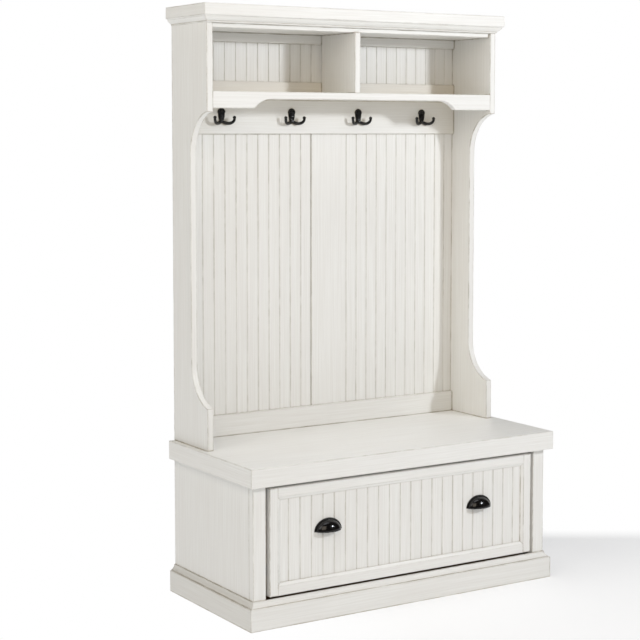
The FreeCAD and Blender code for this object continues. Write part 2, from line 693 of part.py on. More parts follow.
def cabinet_slide_screws(sign):
    direction = RIGHT * sign
    x = sign * (OPENING_X - SLIDE_GAUGE)
    return [screw(x, d, SLIDE_Z, BENCH_IN_X - OPENING_X, direction, 1.0) for d in slide_screw_depths()]


def drawer_slide_screws(sign):
    direction = RIGHT * -sign
    x = sign * (BOX_X + SLIDE_GAUGE)
    return [screw(x, d, SLIDE_Z, DRAWER_WALL_T - 1, direction, 1.0) for d in slide_screw_depths()]


def anti_tip_brackets():
    """Flat steel straps on the back of the top rail, each with a hole for a wall cord or screw."""
    straps = []
    for sign in (-1, 1):
        x = sign * BRACKET_X
        strap = slab(x - BRACKET_W / 2, x + BRACKET_W / 2, BACK_SETBACK - BRACKET_T, BACK_SETBACK,
                     CUBBY_TOP_Z - BRACKET_H, CUBBY_TOP_Z)
        hole = rod(x, BACK_SETBACK, CUBBY_TOP_Z - BRACKET_H + BRACKET_HOLE_D * 2, BRACKET_HOLE_D / 2,
                   BRACKET_T, BACKWARD)
        straps.append(strap.cut(hole))
    return straps


# ---- the assembly -------------------------------------------------------------------------------------
def bench_parts():
    parts = {}
    names = ("bench_top_board", "bench_top_front_edge", "bench_top_left_edge", "bench_top_right_edge")
    parts.update(zip(names, bench_top()))
    parts.update(zip(("base_front_board", "base_left_board", "base_right_board"), base_boards()))
    for sign, side in ((-1, "left"), (1, "right")):
        parts["bench_%s_side" % side] = bench_side(sign)
        parts["face_frame_%s_stile" % side] = face_stile(sign)
        parts["slide_mount_rail_%s" % side] = mount_rail(sign)
        members = ("cabinet_slide_", "middle_slide_", "drawer_slide_")
        parts.update(zip([m + side for m in members], slide_members(sign)))
    parts["face_frame_top_rail"] = board(-OPENING_X, OPENING_X, CARCASS_FRONT_D, BODY_D, APRON_UNDER_Z,
                                         TOP_UNDER_Z)
    parts["bench_back_panel"] = slab(-BENCH_IN_X, BENCH_IN_X, BENCH_BACK_SETBACK, BENCH_BACK_D, GLIDE_T,
                                     TOP_UNDER_Z)
    parts["bench_bottom_panel"] = slab(-BENCH_IN_X, BENCH_IN_X, BENCH_BACK_D, CARCASS_FRONT_D,
                                       BOTTOM_PANEL_Z, BOTTOM_PANEL_Z + BOTTOM_PANEL_T)
    return parts


def drawer_parts():
    parts = {"drawer_front_left_stile": front_stile(-1), "drawer_front_right_stile": front_stile(1),
             "drawer_front_bottom_rail": front_rail(True), "drawer_front_top_rail": front_rail(False),
             "drawer_front_panel": front_panel(), "drawer_box_left_side": drawer_side(-1),
             "drawer_box_right_side": drawer_side(1), "drawer_box_back": drawer_end(BOX_BACK_D),
             "drawer_box_front": drawer_end(FRONT_BACK_D - DRAWER_WALL_T), "drawer_box_bottom": drawer_bottom(),
             "cup_pull_left": cup_pull(-PULL_X), "cup_pull_right": cup_pull(PULL_X)}
    return parts


def hutch_parts():
    parts = {"hutch_left_side": hutch_side(-1), "hutch_right_side": hutch_side(1),
             "arched_valance": valance(), "cubby_back_beadboard": cubby_back(),
             "back_left_beadboard": main_back(-1), "back_right_beadboard": main_back(1),
             "back_top_rail": hutch_rail(TOP_RAIL_Z0, CUBBY_TOP_Z),
             "hook_rail": hutch_rail(HOOK_RAIL_Z0, HOOK_RAIL_TOP_Z),
             "back_bottom_rail": hutch_rail(SEAT_H, BOTTOM_RAIL_Z1)}
    names = ("cornice_top_board", "cornice_front_moulding", "cornice_left_moulding", "cornice_right_moulding")
    parts.update(zip(names, cornice()))
    parts["hutch_top_panel"] = board(-HUTCH_IN_X, HUTCH_IN_X, BACK_SETBACK, TOP_PANEL_D, CUBBY_TOP_Z,
                                     CUBBY_TOP_Z + TOP_PANEL_T)
    parts["cubby_shelf"] = slab(-HUTCH_IN_X, HUTCH_IN_X, RAIL_FACE_D, WIDE_D - VALANCE_T,
                                SHELF_TOP_Z - SHELF_T, SHELF_TOP_Z)
    left = DIVIDER_X - DIVIDER_T / 2
    parts["cubby_divider"] = board(left, left + DIVIDER_T, RAIL_FACE_D, WIDE_D - ARRIS, SHELF_TOP_Z, CUBBY_TOP_Z)
    for number, x in enumerate(hook_places(), start=1):
        parts["coat_hook_%d" % number] = coat_hook(x)
    return parts


def drill(parts, names, fasteners):
    """Cut the fasteners' own shapes out of the pieces that they pass through."""
    tool = Part.makeCompound(fasteners)
    for name in names:
        parts[name] = parts[name].cut(tool)


def hall_tree():
    parts = bench_parts()
    parts.update(drawer_parts())
    parts.update(hutch_parts())

    glides = floor_glides()
    drill(parts, ("bench_left_side", "bench_right_side"), glides)
    parts["floor_glides"] = Part.makeCompound(glides)

    dowels = hutch_dowels()
    drill(parts, ("bench_top_board", "bench_left_side", "bench_right_side", "hutch_left_side",
                  "hutch_right_side"), dowels)
    parts["hutch_dowels"] = Part.makeCompound(dowels)

    hooks = ["coat_hook_%d" % (k + 1) for k in range(HOOK_COUNT)]
    screws = hook_screws()
    drill(parts, hooks + ["hook_rail"], screws)
    parts["hook_screws"] = Part.makeCompound(screws)

    parts["anti_tip_brackets"] = Part.makeCompound(anti_tip_brackets())
    screws = rail_screws() + bracket_screws() + cabinet_slide_screws(-1) + cabinet_slide_screws(1)
    drill(parts, ("bench_top_board", "back_bottom_rail", "back_top_rail", "anti_tip_brackets",
                  "cabinet_slide_left", "cabinet_slide_right", "slide_mount_rail_left",
                  "slide_mount_rail_right"), screws)
    parts["assembly_screws"] = Part.makeCompound(screws)

    screws = pull_screws(-PULL_X) + pull_screws(PULL_X) + drawer_slide_screws(-1) + drawer_slide_screws(1)
    drill(parts, ("cup_pull_left", "cup_pull_right", "drawer_front_panel", "drawer_box_front",
                  "drawer_box_left_side", "drawer_box_right_side", "drawer_slide_left",
                  "drawer_slide_right"), screws)
    parts["drawer_screws"] = Part.makeCompound(screws)
    return parts


def main():
    os.makedirs("parts", exist_ok=True)
    for name, shape in sorted(hall_tree().items()):
        if not shape.isValid() or not shape.Solids:
            raise ValueError("bad shape: " + name)
        shape.exportStep("parts/%s.step" % name)
        box = shape.BoundBox
        size = "%.1f x %.1f x %.1f" % (box.XLength, box.YLength, box.ZLength)
        print("%-28s %d solid(s)  %s  z %.1f" % (name, len(shape.Solids), size, box.ZMin))


main()
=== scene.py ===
# %% [markdown]
# # A painted hall tree
# The joinery comes in as a fixed frame of wooden parts, each one a mesh at its true place in metres.
# This lesson paints those boards, models the ironwork by hand, and sets up a plain studio round them.

# %% Load the frame
import bpy
import json
import math
import random
from mathutils import Matrix, Vector


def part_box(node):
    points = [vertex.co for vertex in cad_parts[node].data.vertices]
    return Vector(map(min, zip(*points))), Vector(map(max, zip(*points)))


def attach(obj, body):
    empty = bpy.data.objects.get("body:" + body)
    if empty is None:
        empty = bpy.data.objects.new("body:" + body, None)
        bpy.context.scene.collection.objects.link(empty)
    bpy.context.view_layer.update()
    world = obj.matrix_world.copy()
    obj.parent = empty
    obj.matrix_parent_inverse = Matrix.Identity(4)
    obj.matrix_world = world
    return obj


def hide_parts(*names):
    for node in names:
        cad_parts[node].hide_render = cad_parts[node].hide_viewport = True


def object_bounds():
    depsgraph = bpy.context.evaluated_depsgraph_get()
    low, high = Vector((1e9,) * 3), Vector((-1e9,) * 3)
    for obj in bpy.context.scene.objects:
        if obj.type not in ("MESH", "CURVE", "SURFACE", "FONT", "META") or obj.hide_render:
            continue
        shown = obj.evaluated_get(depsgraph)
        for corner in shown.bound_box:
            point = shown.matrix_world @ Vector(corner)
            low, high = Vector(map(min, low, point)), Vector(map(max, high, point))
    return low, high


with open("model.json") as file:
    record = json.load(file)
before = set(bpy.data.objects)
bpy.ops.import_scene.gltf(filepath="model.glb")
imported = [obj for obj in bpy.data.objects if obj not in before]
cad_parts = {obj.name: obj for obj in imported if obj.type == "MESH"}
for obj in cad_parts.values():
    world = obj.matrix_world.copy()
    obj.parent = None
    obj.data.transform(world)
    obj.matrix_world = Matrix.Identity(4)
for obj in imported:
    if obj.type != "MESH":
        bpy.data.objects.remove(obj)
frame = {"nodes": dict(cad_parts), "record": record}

cad_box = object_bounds()
nodes = frame["nodes"]
MM = 0.001
low, high = cad_box
print("frame:", len(nodes), "parts,", "size", [round(v, 3) for v in high - low])

# %% [markdown]
# Paint makers give colours as sRGB hex codes, but a shader wants linear light, so one function turns
# the first into the second. A second small function adds a shader node: settings by name, then sockets,
# where a plain value fills a socket and another node's output is linked to it.

# %% Colour and node helpers
def linear(code):
    """Linear RGBA from an sRGB hex code."""
    channels = [int(code[k:k + 2], 16) / 255 for k in (1, 3, 5)]
    return [c / 12.92 if c <= 0.04045 else ((c + 0.055) / 1.055) ** 2.4 for c in channels] + [1.0]


def add(tree, kind, sockets=None, **settings):
    """Add a node; sockets holds a value or another node's output for each input."""
    node = tree.nodes.new(kind)
    for name, value in settings.items():
        setattr(node, name, value)
    for key, value in (sockets or {}).items():
        if isinstance(value, bpy.types.NodeSocket):
            tree.links.new(value, node.inputs[key])
        else:
            node.inputs[key].default_value = value
    return node


def new_material(name):
    """A material with only a Principled shader, ready for its sockets."""
    material = bpy.data.materials.new(name)
    material.use_nodes = True
    tree = material.node_tree
    return material, tree, tree.nodes["Principled BSDF"]


print("white paint in linear light:", [round(c, 3) for c in linear("#E9E7E2")])

# %% [markdown]
# The finish is a brushed satin paint over wood, rubbed back at the arrises and wiped with a thin brown
# glaze that stays in the grooves and corners. Three things show that to the eye: faint streaks along
# each board's length, a broken darker line beside the edges, and grey-brown lines wherever two surfaces
# meet. The streaks are stretched noise in real millimetres. The rub is found by comparing the surface
# normal with one that a Bevel node has rounded, so it follows every edge without any painting by hand.
# The glaze comes from short-range ambient occlusion, which is what collects wiped glaze on real work.
# Beadboard is sprayed more heavily than it is wiped, so its narrow grooves hold only a trace of glaze.
# A longer-range occlusion paints a warm shade close under the shelf, standing in for the shade and bounce
# light there, and the base boards are darkened a little all over as painted shade, their ends more than their
# fronts.

# %% Painted wood
STREAK_MM = 2.6          # width of a brush streak
STREAK_LENGTH_MM = 190   # and its length
FINE_MM = 0.9            # open grain under the paint
FINE_LENGTH_MM = 60
CLOUD_MM = 140           # slow change of tone over a panel
RUB_MM = 4.0             # how far the rub reaches from an arris
RUB_PATCH_MM = 40        # length of the worn patches along it
GLAZE_MM = 6.0           # reach of the glaze in a corner
SHELF_SHADE_REACH_MM = 160         # how near a shelf has to be for the painted shade under it
RUB_TURN = (0.9995, 0.97)    # cosine of the turn at which the rub starts and is full
PAINT_LIGHT = "#EEEEEB"
PAINT_DARK = "#E6E5E1"
CLOUD_TONE = "#E6E4E0"
OPEN_GRAIN = "#C4BEB0"
GLAZE = "#A29884"
BARE_WOOD = "#8B7F6A"
# Painted shade: the warm tone laid on the boards close under a shelf.
SHELF_SHADE_TONE = "#CDBD9C"
# Painted shade: the darker tone that the base boards are toned down towards.
BASE_SHADE_TONE = "#A39C8C"


def stretched(tree, position, grain, width_mm, length_mm, detail):
    """Noise drawn out along the grain, in the part's own coordinates."""
    across, along = 1000 / width_mm, 1000 / length_mm
    scale = [along if axis == grain else across for axis in "XYZ"]
    mapping = add(tree, "ShaderNodeMapping", {"Vector": position, "Scale": scale})
    noise = add(tree, "ShaderNodeTexNoise", {"Vector": mapping.outputs[0], "Scale": 1.0, "Detail": detail,
                                            "Roughness": 0.55})
    return noise.outputs["Fac"]


def ramp(tree, value, start, end, low_to=0.0, high_to=1.0):
    """Map start..end of a value to low_to..high_to, clamped."""
    sockets = {"Value": value, "From Min": start, "From Max": end, "To Min": low_to, "To Max": high_to}
    return add(tree, "ShaderNodeMapRange", sockets).outputs["Result"]


def mixed(tree, factor, first, second):
    """A colour between two others."""
    node = add(tree, "ShaderNodeMix", {0: factor, 6: first, 7: second}, data_type="RGBA")
    return node.outputs[2]


def times(tree, first, second):
    """The product of two values."""
    return add(tree, "ShaderNodeMath", {0: first, 1: second}, operation="MULTIPLY").outputs[0]


def edge_mask(tree, radius_mm, start, end):
    """One beside an arris and nothing elsewhere, from how far a Bevel node turns the normal."""
    normal = add(tree, "ShaderNodeNewGeometry").outputs["Normal"]
    rounded = add(tree, "ShaderNodeBevel", {"Radius": radius_mm * MM}, samples=8).outputs["Normal"]
    turn = add(tree, "ShaderNodeVectorMath", {0: normal, 1: rounded}, operation="DOT_PRODUCT")
    return ramp(tree, turn.outputs["Value"], start, end)


def painted_wood(name, grain, glaze_hold=1.0, rub_hold=0.7, base_shade=0.0, shelf_shade=0.0):
    """Satin white paint, brushed along the grain, glazed and rubbed back.

    The holds say how much glaze and rub are kept, the next argument how far the whole board is darkened
    as painted shade, and the last how strong a warm painted shade is where a shelf hangs close above.
    """
    material, tree, shader = new_material(name)
    position = add(tree, "ShaderNodeTexCoord").outputs["Object"]
    streak = stretched(tree, position, grain, STREAK_MM, STREAK_LENGTH_MM, 3.0)
    fine = stretched(tree, position, grain, FINE_MM, FINE_LENGTH_MM, 2.0)
    cloud = stretched(tree, position, grain, CLOUD_MM, CLOUD_MM * 2, 2.0)
    colour = mixed(tree, ramp(tree, streak, 0.36, 0.66), linear(PAINT_DARK), linear(PAINT_LIGHT))
    colour = mixed(tree, ramp(tree, cloud, 0.35, 0.65, 0.0, 0.35), colour, linear(CLOUD_TONE))
    colour = mixed(tree, ramp(tree, fine, 0.62, 0.78, 0.0, 0.20), colour, linear(OPEN_GRAIN))

    crease = add(tree, "ShaderNodeAmbientOcclusion", {"Distance": GLAZE_MM * MM}, samples=8)
    crease_amount = ramp(tree, crease.outputs["AO"], 0.88, 0.50, 0.0, glaze_hold)
    broken = ramp(tree, stretched(tree, position, grain, 14, 60, 3.0), 0.34, 0.62, 0.25, 1.0)
    colour = mixed(tree, times(tree, crease_amount, broken), colour, linear(GLAZE))

    patches = stretched(tree, position, grain, RUB_PATCH_MM * 0.6, RUB_PATCH_MM, 5.0)
    regions = stretched(tree, position, grain, RUB_PATCH_MM * 5, RUB_PATCH_MM * 9, 1.0)
    patchy = ramp(tree, patches, 0.40, 0.60, 0.30, 1.0)
    worn = times(tree, patchy, ramp(tree, regions, 0.38, 0.60, 0.45, 1.0))
    rub = times(tree, edge_mask(tree, RUB_MM, *RUB_TURN), times(tree, worn, rub_hold))
    colour = mixed(tree, rub, colour, linear(BARE_WOOD))

    # Painted shade: where a shelf hangs close above, the colour turns warm and darker, standing in for shade
    # and bounce light.
    shelf_occlusion = add(tree, "ShaderNodeAmbientOcclusion", {"Distance": SHELF_SHADE_REACH_MM * MM}, samples=8)
    painted_shelf_shade = ramp(tree, shelf_occlusion.outputs["AO"], 0.85, 0.35, 0.0, shelf_shade)
    colour = mixed(tree, painted_shelf_shade, colour, linear(SHELF_SHADE_TONE))
    # Painted shade: the whole board darkened by a share towards that tone.
    colour = mixed(tree, base_shade, colour, linear(BASE_SHADE_TONE))

    tree.links.new(colour, shader.inputs["Base Color"])
    tree.links.new(ramp(tree, streak, 0.3, 0.7, 0.50, 0.42), shader.inputs["Roughness"])
    bump = add(tree, "ShaderNodeBump", {"Height": streak, "Strength": 0.25, "Distance": 0.15 * MM})
    bump = add(tree, "ShaderNodeBump", {"Height": fine, "Strength": 0.2, "Distance": 0.1 * MM,
                                        "Normal": bump.outputs[0]})
    tree.links.new(bump.outputs[0], shader.inputs["Normal"])
    shader.inputs["IOR"].default_value = 1.48
    return material


paint = {"X": painted_wood("painted_wood_grain_x", "X", rub_hold=0.4),
         "Y": painted_wood("painted_wood_grain_y", "Y", rub_hold=0.5),
         "Z": painted_wood("painted_wood_grain_z", "Z", rub_hold=1.0)}
bead_paint = painted_wood("painted_beadboard", "Z", glaze_hold=0.42, rub_hold=0.3)
# The boards under the shelf take this paint, which carries painted warm shade.
shelf_shaded_paint = painted_wood("paint_with_shelf_shade", "X", rub_hold=0.4, shelf_shade=0.32)
front_paint = painted_wood("painted_drawer_stile", "Z", glaze_hold=0.1, rub_hold=1.0)
# Base boards darkened all over as painted shade, their ends more than their fronts.
shaded_base_paint = {"X": painted_wood("painted_base_front_shaded", "X", rub_hold=0.5, base_shade=0.06),
                 "Y": painted_wood("painted_base_ends_shaded", "Y", rub_hold=0.6, base_shade=0.20)}
print("painted wood with its grain along", sorted(paint))

# %% [markdown]
# A board's grain runs along its longest side, so each painted part takes the paint whose streaks run
# that way. Beadboard and wide side panels can be wider than they are tall, but their boards still stand
# upright, so those are named. The drawer's stiles get a paint that holds little glaze, because a
# drawer front is wiped by itself, and the boards under the shelf get the one with the painted shade.

# %% Give each board its paint
slots = {part["node"]: part["material_slot"] for part in frame["record"]["subparts"]}
UPRIGHT = ("cubby_back_beadboard", "drawer_front_panel", "back_left_beadboard", "back_right_beadboard",
           "cubby_divider", "bench_left_side", "bench_right_side")


UNDER_SHELF = ("hook_rail", "cubby_shelf", "arched_valance")
DRAWER_STILES = ("drawer_front_left_stile", "drawer_front_right_stile")


def grain_of(name):
    """The axis that a part's grain runs along."""
    if name in UPRIGHT:
        return "Z"
    lowest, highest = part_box(name)
    size = highest - lowest
    return "XYZ"[max(range(3), key=lambda k: size[k])]


def paint_for(name):
    """The paint that a board takes."""
    if "beadboard" in name or name == "drawer_front_panel":
        return bead_paint
    if name in UNDER_SHELF:
        return shelf_shaded_paint
    if name in DRAWER_STILES:
        return front_paint
    return (shaded_base_paint if name.startswith("base_") else paint)[grain_of(name)]


for name, slot in slots.items():
    if slot == "white_paint":
        nodes[name].material_slots[0].material = paint_for(name)
print("painted parts:", sum(slot == "white_paint" for slot in slots.values()))

# %% [markdown]
# The drawer box and the inner rails are clear-lacquered rubberwood: straight grain, warm and pale, with
# short dark pores. The drawer's floor and the bench's back are hardboard, which is pressed brown fibre
# and has no grain, only fine speckle.

# %% Drawer wood and hardboard
def drawer_wood(name, grain):
    """Pale rubberwood under clear lacquer."""
    material, tree, shader = new_material(name)
    position = add(tree, "ShaderNodeTexCoord").outputs["Object"]
    rings = stretched(tree, position, grain, 7.0, 320, 4.0)
    pores = stretched(tree, position, grain, 0.8, 9.0, 2.0)
    colour = mixed(tree, ramp(tree, rings, 0.3, 0.7), linear("#C59D6C"), linear("#DDBD8F"))
    colour = mixed(tree, ramp(tree, pores, 0.64, 0.74, 0.0, 0.6), colour, linear("#8A6238"))
    tree.links.new(colour, shader.inputs["Base Color"])
    tree.links.new(ramp(tree, rings, 0.3, 0.7, 0.46, 0.38), shader.inputs["Roughness"])
    bump = add(tree, "ShaderNodeBump", {"Height": pores, "Strength": 0.2, "Distance": 0.1 * MM})
    tree.links.new(bump.outputs[0], shader.inputs["Normal"])
    return material


def pressed_hardboard(name):
    """Brown fibreboard with a fine speckle."""
    material, tree, shader = new_material(name)
    position = add(tree, "ShaderNodeTexCoord").outputs["Object"]
    speckle = add(tree, "ShaderNodeTexNoise", {"Vector": position, "Scale": 1000 / 1.5, "Detail": 6.0})
    cloud = add(tree, "ShaderNodeTexNoise", {"Vector": position, "Scale": 1000 / 90, "Detail": 2.0})
    colour = mixed(tree, ramp(tree, speckle.outputs["Fac"], 0.35, 0.65), linear("#8B6B4A"), linear("#A98A66"))
    colour = mixed(tree, ramp(tree, cloud.outputs["Fac"], 0.3, 0.7, 0.0, 0.4), colour, linear("#937452"))
    tree.links.new(colour, shader.inputs["Base Color"])
    bump = add(tree, "ShaderNodeBump", {"Height": speckle.outputs["Fac"], "Strength": 0.3,
                                        "Distance": 0.1 * MM})
    tree.links.new(bump.outputs[0], shader.inputs["Normal"])
    shader.inputs["Roughness"].default_value = 0.68
    return material


wood = {axis: drawer_wood("lacquered_rubberwood_" + axis.lower(), axis) for axis in "XYZ"}
hardboard = pressed_hardboard("pressed_hardboard")
for name, slot in slots.items():
    if slot == "drawer_box_wood":
        nodes[name].material_slots[0].material = wood[grain_of(name)]
    if slot == "hardboard":
        nodes[name].material_slots[0].material = hardboard
print("drawer wood and hardboard assigned")

# %% [markdown]
# The hooks and pulls are zinc castings under a black lacquer: very dark, with a tight highlight, and a
# touch of warm bronze where hands have polished the high spots. The slides and screws are zinc-plated
# steel, bright and slightly blue with a fine rolled grain, and the floor glides are moulded nylon.

# %% Black lacquer, zinc plate and nylon
METAL_RUB_MM = 0.9             # how far the bronze rub reaches from an edge
METAL_RUB_TURN = (0.99, 0.93)  # cosine of the turn at which it starts and is full


def black_lacquer():
    """A zinc casting under black lacquer, rubbed bronze on its high spots."""
    material, tree, shader = new_material("black_lacquered_casting")
    position = add(tree, "ShaderNodeTexCoord").outputs["Object"]
    skin = add(tree, "ShaderNodeTexNoise", {"Vector": position, "Scale": 1000 / 1.2, "Detail": 3.0})
    patches = add(tree, "ShaderNodeTexNoise", {"Vector": position, "Scale": 1000 / 9.0, "Detail": 3.0})
    handled = ramp(tree, patches.outputs["Fac"], 0.45, 0.7, 0.0, 0.5)
    rub = times(tree, edge_mask(tree, METAL_RUB_MM, *METAL_RUB_TURN), handled)
    colour = mixed(tree, ramp(tree, patches.outputs["Fac"], 0.3, 0.7), linear("#0A0908"), linear("#131110"))
    colour = mixed(tree, rub, colour, linear("#3A2A1E"))
    tree.links.new(colour, shader.inputs["Base Color"])
    tree.links.new(ramp(tree, patches.outputs["Fac"], 0.3, 0.7, 0.13, 0.20), shader.inputs["Roughness"])
    bump = add(tree, "ShaderNodeBump", {"Height": skin.outputs["Fac"], "Strength": 0.12,
                                        "Distance": 0.1 * MM})
    tree.links.new(bump.outputs[0], shader.inputs["Normal"])
    shader.inputs["Specular IOR Level"].default_value = 0.42
    return material


def zinc_plate():
    """Rolled steel strip, zinc plated."""
    material, tree, shader = new_material("zinc_plated_steel")
    position = add(tree, "ShaderNodeTexCoord").outputs["Object"]
    rolled = stretched(tree, position, "Y", 0.8, 60, 2.0)
    bloom = add(tree, "ShaderNodeTexNoise", {"Vector": position, "Scale": 1000 / 25, "Detail": 3.0})
    colour = mixed(tree, ramp(tree, bloom.outputs["Fac"], 0.3, 0.7), linear("#B4B8BC"), linear("#C9CBCC"))
    tree.links.new(colour, shader.inputs["Base Color"])
    tree.links.new(ramp(tree, rolled, 0.3, 0.7, 0.24, 0.38), shader.inputs["Roughness"])
    bump = add(tree, "ShaderNodeBump", {"Height": rolled, "Strength": 0.1, "Distance": 0.05 * MM})
    tree.links.new(bump.outputs[0], shader.inputs["Normal"])
    shader.inputs["Metallic"].default_value = 1.0
    return material


def moulded_nylon():
    """Off-white nylon with the fine spark texture of its mould."""
    material, tree, shader = new_material("moulded_nylon")
    position = add(tree, "ShaderNodeTexCoord").outputs["Object"]
    spark = add(tree, "ShaderNodeTexNoise", {"Vector": position, "Scale": 1000 / 0.5, "Detail": 2.0})
    colour = mixed(tree, ramp(tree, spark.outputs["Fac"], 0.3, 0.7), linear("#C9C4B8"), linear("#D8D4CA"))
    tree.links.new(colour, shader.inputs["Base Color"])
    bump = add(tree, "ShaderNodeBump", {"Height": spark.outputs["Fac"], "Strength": 0.2,
                                        "Distance": 0.05 * MM})
    tree.links.new(bump.outputs[0], shader.inputs["Normal"])
    shader.inputs["Roughness"].default_value = 0.55
    return material


black = black_lacquer()
zinc = zinc_plate()
nylon = moulded_nylon()
finish = {"black_iron": black, "zinc_steel": zinc, "glide_plastic": nylon}
for name, slot in slots.items():
    if slot in finish:
        nodes[name].material_slots[0].material = finish[slot]
print("metal and plastic parts:", sum(slot in finish for slot in slots.values()))

# %% [markdown]
# Modelling with operators acts on whatever is selected, and loading leaves the frame's parts selected.
# So a few helpers come first: clear the selection, pick parts of a mesh by their place, apply a
# modifier, finish a piece so that its object sits at the origin, and copy it with a mesh of its own.

# %% Modelling helpers
def clear_selection():
    if bpy.context.object and bpy.context.object.mode == "EDIT":
        bpy.ops.object.mode_set(mode="OBJECT")
    bpy.ops.object.select_all(action="DESELECT")


def pick(chosen, kind="VERT"):
    """In edit mode, select the vertices, edges or faces whose centre the function accepts."""
    piece = bpy.context.object
    bpy.ops.mesh.select_mode(type=kind)
    bpy.ops.mesh.select_all(action="DESELECT")
    bpy.ops.object.mode_set(mode="OBJECT")
    mesh = piece.data
    place = piece.matrix_world
    for vertex in mesh.vertices if kind == "VERT" else ():
        vertex.select = chosen(place @ vertex.co)
    for edge in mesh.edges if kind == "EDGE" else ():
        a, b = (place @ mesh.vertices[k].co for k in edge.vertices)
        edge.select = chosen((a + b) / 2)
    for face in mesh.polygons if kind == "FACE" else ():
        face.select = chosen(place @ face.center, face.normal)
    bpy.ops.object.mode_set(mode="EDIT")


def use_modifier(piece, kind, **settings):
    """Add a modifier with its settings and apply it."""
    modifier = piece.modifiers.new(kind.lower(), kind)
    for name, value in settings.items():
        setattr(modifier, name, value)
    bpy.context.view_layer.objects.active = piece
    bpy.ops.object.modifier_apply(modifier=modifier.name)


def settle(piece, name, material, smooth_degrees=40):
    """Put a piece's place into its mesh, smooth it, name it and paint it."""
    clear_selection()
    piece.select_set(True)
    bpy.context.view_layer.objects.active = piece
    bpy.ops.object.transform_apply(location=True, rotation=True, scale=True)
    bpy.ops.object.shade_smooth_by_angle(angle=math.radians(smooth_degrees))
    piece.name = name
    piece.data.name = name
    piece.data.materials.clear()
    piece.data.materials.append(material)
    return piece


def copy_to(piece, name, offset):
    """A copy with its own mesh, moved within that mesh."""
    twin = piece.copy()
    twin.data = piece.data.copy()
    twin.data.transform(Matrix.Translation(offset))
    twin.name = name
    twin.data.name = name
    bpy.context.scene.collection.objects.link(twin)
    return twin


print("modelling helpers ready")

# %% [markdown]
# A double coat hook is one casting: a teardrop plate screwed to the rail, and two arms that leave its
# foot and bend out to the sides and up to round tips. The plate starts as a disc whose lower half is
# drawn down, then it is thickened, and its face is inset and raised so that it is crowned. The arms are
# bevelled curves. Joining them and remeshing gives the soft fillets of a casting where they meet.

# %% Coat hooks
first_low, first_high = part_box("coat_hook_1")
hook_centre = (first_low + first_high) / 2
wall_y = first_high.y
hook_top = first_high.z
PLATE_R = 12.5 * MM
PLATE_T = 3.5 * MM
PLATE_TAPER = 0.86       # the plate's lower half is narrowed and drawn down by these
PLATE_DRAW = 2.5
ARM_R = 4.2 * MM
ROOT_SWELL, TIP_SLIM = 1.25, 0.92    # the arm's radius at its root and tip, as shares of ARM_R
TIP_R = 4.9 * MM
ROOT_DROP = 36 * MM      # from the top of the plate to where the arms leave it
ARM_DIP = 15 * MM        # how far the curve's handles hang below that
TIP_RISE = 8.5 * MM
half_spread = (first_high.x - first_low.x) / 2 - TIP_R
reach = wall_y - first_low.y - TIP_R
plate_mid = hook_top - PLATE_R


def hook_plate(x):
    """The crowned teardrop plate."""
    clear_selection()
    bpy.ops.mesh.primitive_circle_add(vertices=64, radius=PLATE_R, fill_type="NGON", enter_editmode=True,
                                      location=(x, wall_y, plate_mid), rotation=(math.pi / 2, 0, 0))
    pick(lambda p: p.z < plate_mid - 0.01 * MM)
    bpy.ops.transform.resize(value=(PLATE_TAPER, 1, PLATE_DRAW), center_override=(x, wall_y, plate_mid))
    bpy.ops.mesh.select_all(action="SELECT")
    bpy.ops.mesh.extrude_region_move(TRANSFORM_OT_translate={"value": (0, -PLATE_T * 0.6, 0)})
    bpy.ops.mesh.inset(thickness=1.6 * MM)
    bpy.ops.transform.translate(value=(0, -PLATE_T * 0.4, 0))
    bpy.ops.mesh.inset(thickness=2.2 * MM)
    bpy.ops.transform.translate(value=(0, -0.9 * MM, 0))
    bpy.ops.mesh.select_all(action="SELECT")
    bpy.ops.mesh.normals_make_consistent(inside=False)
    bpy.ops.object.mode_set(mode="OBJECT")
    return bpy.context.object


def hook_arm(x, side, root_z):
    """One arm as a bevelled curve, thicker at its root, with a ball at its tip."""
    clear_selection()
    bpy.ops.curve.primitive_bezier_curve_add(location=(0, 0, 0))
    arm = bpy.context.object
    points = arm.data.splines[0].bezier_points
    start = Vector((x, wall_y - 2.4 * MM, root_z))
    tip = Vector((x + side * half_spread, wall_y - reach, root_z + TIP_RISE))
    points[0].co = start
    points[0].handle_right = start + Vector((side * 9 * MM, -7 * MM, -ARM_DIP))
    points[0].handle_left = start - Vector((side * 3 * MM, 0, -3 * MM))
    points[1].co = tip
    points[1].handle_left = tip + Vector((side * 2 * MM, -2 * MM, -TIP_RISE - 10 * MM))
    points[1].handle_right = tip + Vector((0, 0, 3 * MM))
    points[0].radius = ROOT_SWELL
    points[1].radius = TIP_SLIM
    arm.data.dimensions = "3D"
    arm.data.resolution_u = 24
    arm.data.bevel_depth = ARM_R
    arm.data.bevel_resolution = 6
    arm.data.use_fill_caps = True
    bpy.ops.object.convert(target="MESH")
    arm = bpy.context.object
    clear_selection()
    bpy.ops.mesh.primitive_uv_sphere_add(segments=32, ring_count=16, radius=TIP_R, location=tip)
    return [arm, bpy.context.object]


def cast_hook(x):
    """Join the plate, arms and tips and remesh them into one casting."""
    root_z = hook_top - ROOT_DROP
    pieces = [hook_plate(x)] + hook_arm(x, -1, root_z) + hook_arm(x, 1, root_z)
    clear_selection()
    for piece in pieces:
        piece.select_set(True)
    bpy.context.view_layer.objects.active = pieces[0]
    bpy.ops.object.join()
    hook = bpy.context.object
    use_modifier(hook, "REMESH", mode="VOXEL", voxel_size=0.55 * MM)
    use_modifier(hook, "SMOOTH", factor=0.5, iterations=4)
    use_modifier(hook, "DECIMATE", ratio=0.5)
    return hook


